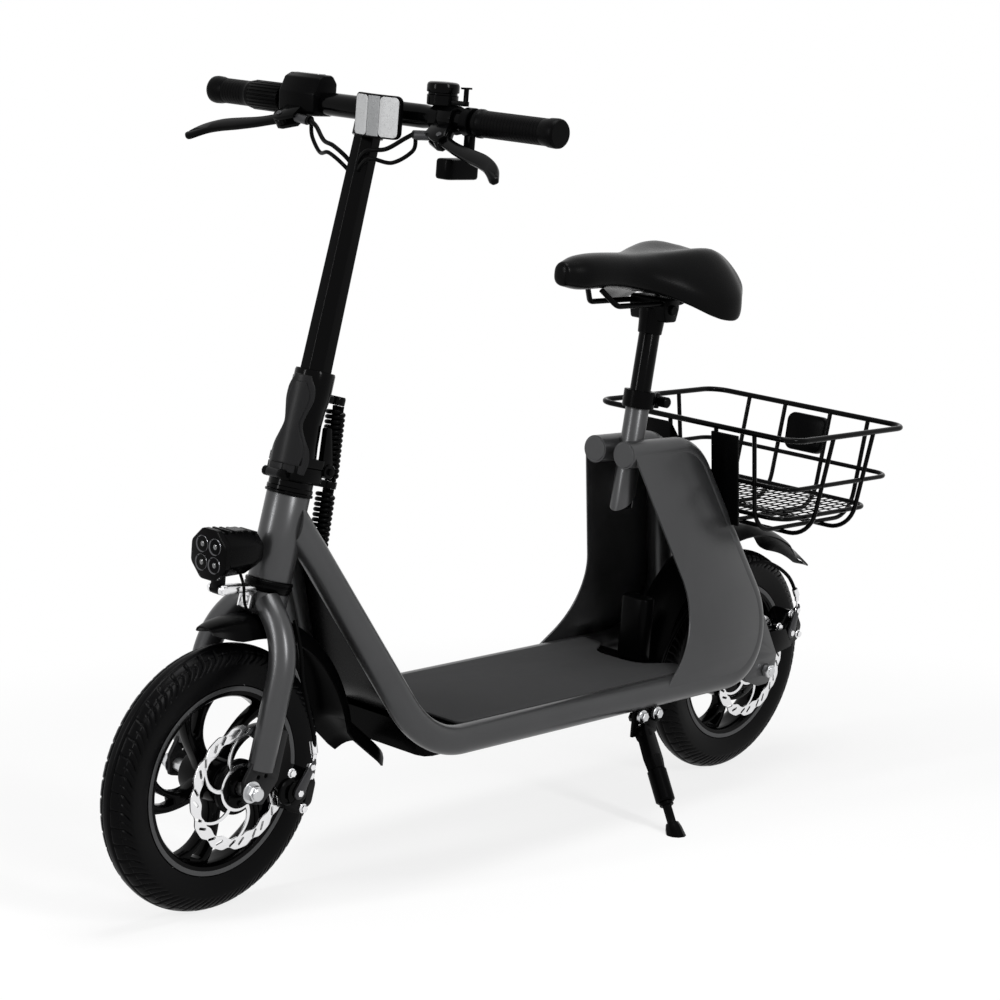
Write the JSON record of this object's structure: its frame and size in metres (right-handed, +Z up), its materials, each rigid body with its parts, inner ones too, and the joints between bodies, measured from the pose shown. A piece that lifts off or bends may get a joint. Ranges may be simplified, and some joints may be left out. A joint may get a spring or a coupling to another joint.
{
  "type": "seated electric scooter",
  "caption": "Folding seated electric scooter with a bent-tube frame, saddle on a post, rear wire basket, disc brakes and road tyres, leaning on its side stand.",
  "frame": {"origin": "middle of the bounding box, on the ground under both tyres and the stand's foot", "axes": "+X forward, +Y to the rider's left, +Z up; the machine leans towards +Y onto its stand"},
  "size_m": [1.2634, 0.534, 0.9273],
  "materials": {
    "frame_paint": "satin metallic charcoal paint",
    "black_paint": "semi-gloss black paint",
    "black_plastic": "moulded, fine grain",
    "black_rubber": "matt moulded rubber",
    "tyre_rubber": "matt with a road tread",
    "mat_rubber": "matt textured mat",
    "saddle_cover": "smooth synthetic leather",
    "bright_steel": "bright, lightly brushed",
    "lens_plastic": "moulded clear lens over white"
  },
  "bodies": {
    "frame": {"seat_tube": "frame_paint", "left_frame_tube": "frame_paint", "right_frame_tube": "frame_paint", "head_tube": "frame_paint", "left_side_panel": "frame_paint", "right_side_panel": "frame_paint", "deck_plate": "black_paint", "deck_mat": "mat_rubber", "battery_tray": "black_paint", "battery_pack": "black_plastic", "motor_controller": "black_plastic", "rear_axle": "bright_steel", "rear_fender": "black_plastic", "rear_caliper": "black_paint", "seat_clamp": "black_paint", "basket": "black_paint", "basket_bracket": "black_paint", "basket_reflector": "black_plastic", "kickstand_bracket": "black_paint", "rear_brake_cable": "black_rubber"},
    "fork": {"fork": "frame_paint", "front_axle": "bright_steel", "front_fender": "black_plastic", "front_caliper": "black_paint", "fold_base": "black_paint", "light_bracket": "bright_steel", "front_brake_cable": "black_rubber", "lower_cable_wrap": "black_plastic"},
    "stem": {"stem_casting": "black_paint", "stem_tube": "black_paint", "handlebar": "black_paint", "left_grip": "black_rubber", "right_grip": "black_rubber", "throttle_housing": "black_plastic", "left_lever_perch": "black_paint", "right_lever_perch": "black_paint", "bell": "black_paint", "switch_box": "black_plastic", "front_reflector": "lens_plastic", "control_cables": "black_rubber", "upper_cable_wrap": "black_plastic"},
    "fold_lever": {"fold_lever": "black_paint"},
    "fold_catch": {"fold_catch": "black_paint"},
    "lamp": {"headlight": "black_paint"},
    "front_wheel": {"front_wheel": "black_paint", "front_tyre": "tyre_rubber", "front_rotor": "bright_steel"},
    "rear_wheel": {"rear_wheel": "black_paint", "rear_tyre": "tyre_rubber", "rear_rotor": "bright_steel"},
    "left_lever": {"left_brake_lever": "black_paint"},
    "right_lever": {"right_brake_lever": "black_paint"},
    "front_arm": {"front_caliper_arm": "black_paint"},
    "rear_arm": {"rear_caliper_arm": "black_paint"},
    "twist": {"throttle_twist": "black_rubber"},
    "bell_arm": {"bell_lever": "black_paint"},
    "button": {"switch_button": "black_plastic"},
    "seat": {"seatpost": "black_paint", "saddle": "saddle_cover"},
    "stand": {"kickstand_leg": "black_paint"}
  },
  "joints": [
    {"name": "steering", "type": "hinge", "parent": "frame", "child": "fork", "pos_m": [0.4, -0.0496, 0.4139], "axis": [-0.2129, 0.1028, 0.9717], "range_deg": [-40, 40], "deforming": ["lower_cable_wrap"]},
    {"name": "stem_fold", "type": "hinge", "parent": "fork", "child": "stem", "pos_m": [0.35225, -0.04187, 0.48702], "axis": [0, -0.9944, 0.1052], "range_deg": [0, 90], "deforming": ["upper_cable_wrap"]},
    {"name": "fold_lever_swing", "type": "hinge", "parent": "fork", "child": "fold_lever", "pos_m": [0.41343, -0.04176, 0.48806], "axis": [0, 0.9944, -0.1052], "range_deg": [0, 100]},
    {"name": "fold_catch_swing", "type": "hinge", "parent": "stem", "child": "fold_catch", "pos_m": [0.36168, -0.05377, 0.5912], "axis": [-0.9771, -0.0224, -0.2117], "range_deg": [0, 20], "stiffness_Nm_per_rad": 0.2},
    {"name": "lamp_tilt", "type": "hinge", "parent": "fork", "child": "lamp", "pos_m": [0.48727, -0.05468, 0.36596], "axis": [0, 0.9944, -0.1052], "range_deg": [-8, 25]},
    {"name": "front_wheel_spin", "type": "hinge", "parent": "fork", "child": "front_wheel", "pos_m": [0.47927, -0.07736, 0.15155], "axis": [0, 0.9944, -0.1052], "continuous": true},
    {"name": "rear_wheel_spin", "type": "hinge", "parent": "frame", "child": "rear_wheel", "pos_m": [-0.45973, -0.07736, 0.15155], "axis": [0, 0.9944, -0.1052], "continuous": true},
    {"name": "left_lever_pull", "type": "hinge", "parent": "stem", "child": "left_lever", "pos_m": [0.31674, 0.12108, 0.84861], "axis": [0.6225, 0.0824, 0.7783], "range_deg": [0, 20], "stiffness_Nm_per_rad": 1.5, "springref_deg": -8.59},
    {"name": "right_lever_pull", "type": "hinge", "parent": "stem", "child": "right_lever", "pos_m": [0.31674, -0.12554, 0.8747], "axis": [-0.6225, -0.0824, -0.7783], "range_deg": [0, 20], "stiffness_Nm_per_rad": 1.5, "springref_deg": -8.59},
    {"name": "front_arm_pull", "type": "hinge", "parent": "fork", "child": "front_arm", "pos_m": [0.40611, -0.01695, 0.13047], "axis": [0, 0.9944, -0.1052], "range_deg": [0, 16], "stiffness_Nm_per_rad": 0.5},
    {"name": "rear_arm_pull", "type": "hinge", "parent": "frame", "child": "rear_arm", "pos_m": [-0.52158, -0.01102, 0.18648], "axis": [0, 0.9944, -0.1052], "range_deg": [0, 16], "stiffness_Nm_per_rad": 0.5},
    {"name": "throttle_turn", "type": "hinge", "parent": "stem", "child": "twist", "pos_m": [0.29013, -0.16906, 0.90059], "axis": [0, -0.9944, 0.1052], "range_deg": [0, 60], "stiffness_Nm_per_rad": 0.3},
    {"name": "bell_strike", "type": "hinge", "parent": "stem", "child": "bell_arm", "pos_m": [0.29013, 0.09736, 0.8905], "axis": [0, 0.1052, 0.9944], "range_deg": [0, 25], "stiffness_Nm_per_rad": 0.1},
    {"name": "button_press", "type": "slide", "parent": "stem", "child": "button", "axis": [1, 0, 0], "range_m": [0, 0.002], "stiffness_N_per_m": 400},
    {"name": "seat_height", "type": "slide", "parent": "frame", "child": "seat", "axis": [-0.1137, 0.1045, 0.988], "range_m": [-0.07, 0]},
    {"name": "stand_fold", "type": "hinge", "parent": "frame", "child": "stand", "pos_m": [-0.15273, 0.03202, 0.11142], "axis": [0, 0.8429, 0.5381], "range_deg": [0, 95]}
  ],
  "couplings": [
    {"joint": "rear_arm_pull", "follows": "left_lever_pull", "ratio": 0.8},
    {"joint": "front_arm_pull", "follows": "right_lever_pull", "ratio": 0.8}
  ]
}
